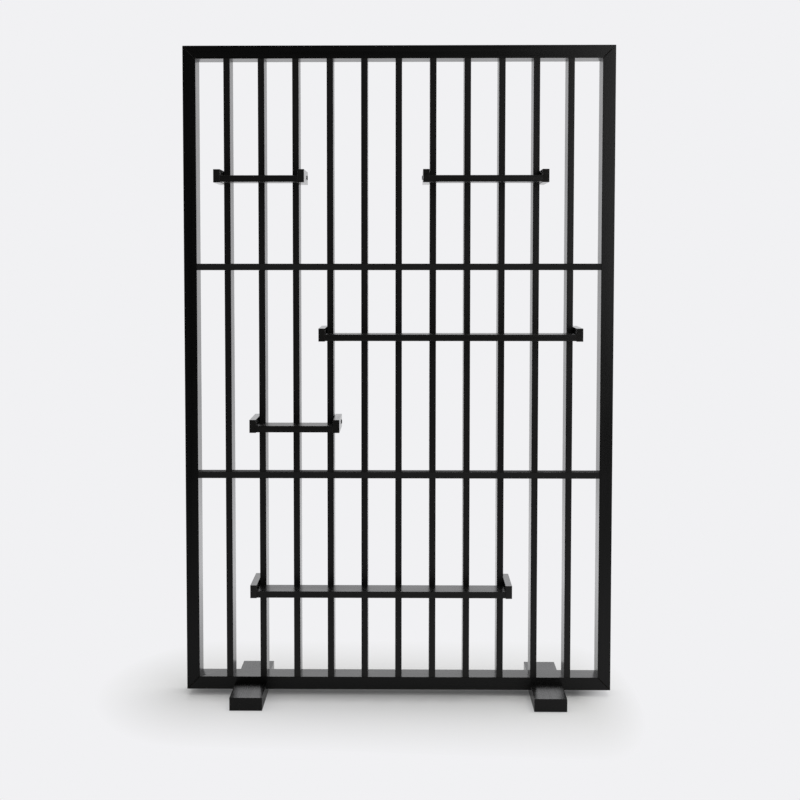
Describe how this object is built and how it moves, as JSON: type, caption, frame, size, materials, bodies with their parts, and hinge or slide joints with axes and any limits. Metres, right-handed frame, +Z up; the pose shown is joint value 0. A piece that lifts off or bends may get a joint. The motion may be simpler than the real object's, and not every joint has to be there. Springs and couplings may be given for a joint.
{
  "type": "shelving room divider",
  "caption": "Free-standing black slatted wood screen in a mitred frame on cross feet, with small clamp-on shelves that slide up and down the slats.",
  "frame": {"origin": "on the floor under the middle of the frame, at the glides' undersides", "axes": "+Z up, +X to the right seen from the front, front with the shelves towards -Y"},
  "size_m": [1.2, 0.475, 1.8263],
  "materials": {
    "black_lacquer": "satin black lacquer over fine straight grain",
    "black_steel": "black oxide steel",
    "black_rubber": "matt black rubber",
    "grey_felt": "dark grey pressed felt"
  },
  "bodies": {
    "frame": {"top_rail": "black_lacquer", "bottom_rail": "black_lacquer", "left_stile": "black_lacquer", "right_stile": "black_lacquer", "slat_01": "black_lacquer", "slat_02": "black_lacquer", "slat_03": "black_lacquer", "slat_04": "black_lacquer", "slat_05": "black_lacquer", "slat_06": "black_lacquer", "slat_07": "black_lacquer", "slat_08": "black_lacquer", "slat_09": "black_lacquer", "slat_10": "black_lacquer", "slat_11": "black_lacquer", "crossbar_1": "black_lacquer", "crossbar_2": "black_lacquer", "left_foot": "black_lacquer", "right_foot": "black_lacquer", "left_foot_bolt": "black_steel", "right_foot_bolt": "black_steel", "left_foot_front_glide": "grey_felt", "left_foot_back_glide": "grey_felt", "right_foot_front_glide": "grey_felt", "right_foot_back_glide": "grey_felt"},
    "shelf_1": {"shelf_1_board": "black_lacquer", "shelf_1_left_cheek": "black_lacquer", "shelf_1_right_cheek": "black_lacquer", "shelf_1_left_bolt": "black_steel", "shelf_1_right_bolt": "black_steel", "shelf_1_left_pad": "black_rubber", "shelf_1_right_pad": "black_rubber"},
    "shelf_2": {"shelf_2_board": "black_lacquer", "shelf_2_left_cheek": "black_lacquer", "shelf_2_right_cheek": "black_lacquer", "shelf_2_left_bolt": "black_steel", "shelf_2_right_bolt": "black_steel", "shelf_2_left_pad": "black_rubber", "shelf_2_right_pad": "black_rubber"},
    "shelf_3": {"shelf_3_board": "black_lacquer", "shelf_3_left_cheek": "black_lacquer", "shelf_3_right_cheek": "black_lacquer", "shelf_3_left_bolt": "black_steel", "shelf_3_right_bolt": "black_steel", "shelf_3_left_pad": "black_rubber", "shelf_3_right_pad": "black_rubber"},
    "shelf_4": {"shelf_4_board": "black_lacquer", "shelf_4_left_cheek": "black_lacquer", "shelf_4_right_cheek": "black_lacquer", "shelf_4_left_bolt": "black_steel", "shelf_4_right_bolt": "black_steel", "shelf_4_left_pad": "black_rubber", "shelf_4_right_pad": "black_rubber"},
    "shelf_5": {"shelf_5_board": "black_lacquer", "shelf_5_left_cheek": "black_lacquer", "shelf_5_right_cheek": "black_lacquer", "shelf_5_left_bolt": "black_steel", "shelf_5_right_bolt": "black_steel", "shelf_5_left_pad": "black_rubber", "shelf_5_right_pad": "black_rubber"}
  },
  "joints": [
    {"name": "shelf_1_slide", "type": "slide", "parent": "frame", "child": "shelf_1", "axis": [0, 0, 1], "range_m": [-0.2215, 0.308]},
    {"name": "shelf_2_slide", "type": "slide", "parent": "frame", "child": "shelf_2", "axis": [0, 0, 1], "range_m": [-0.2215, 0.308]},
    {"name": "shelf_3_slide", "type": "slide", "parent": "frame", "child": "shelf_3", "axis": [0, 0, 1], "range_m": [-0.1075, 0.158]},
    {"name": "shelf_4_slide", "type": "slide", "parent": "frame", "child": "shelf_4", "axis": [0, 0, 1], "range_m": [-0.1195, 0.1075]},
    {"name": "shelf_5_slide", "type": "slide", "parent": "frame", "child": "shelf_5", "axis": [0, 0, 1], "range_m": [-0.2435, 0.286]}
  ]
}
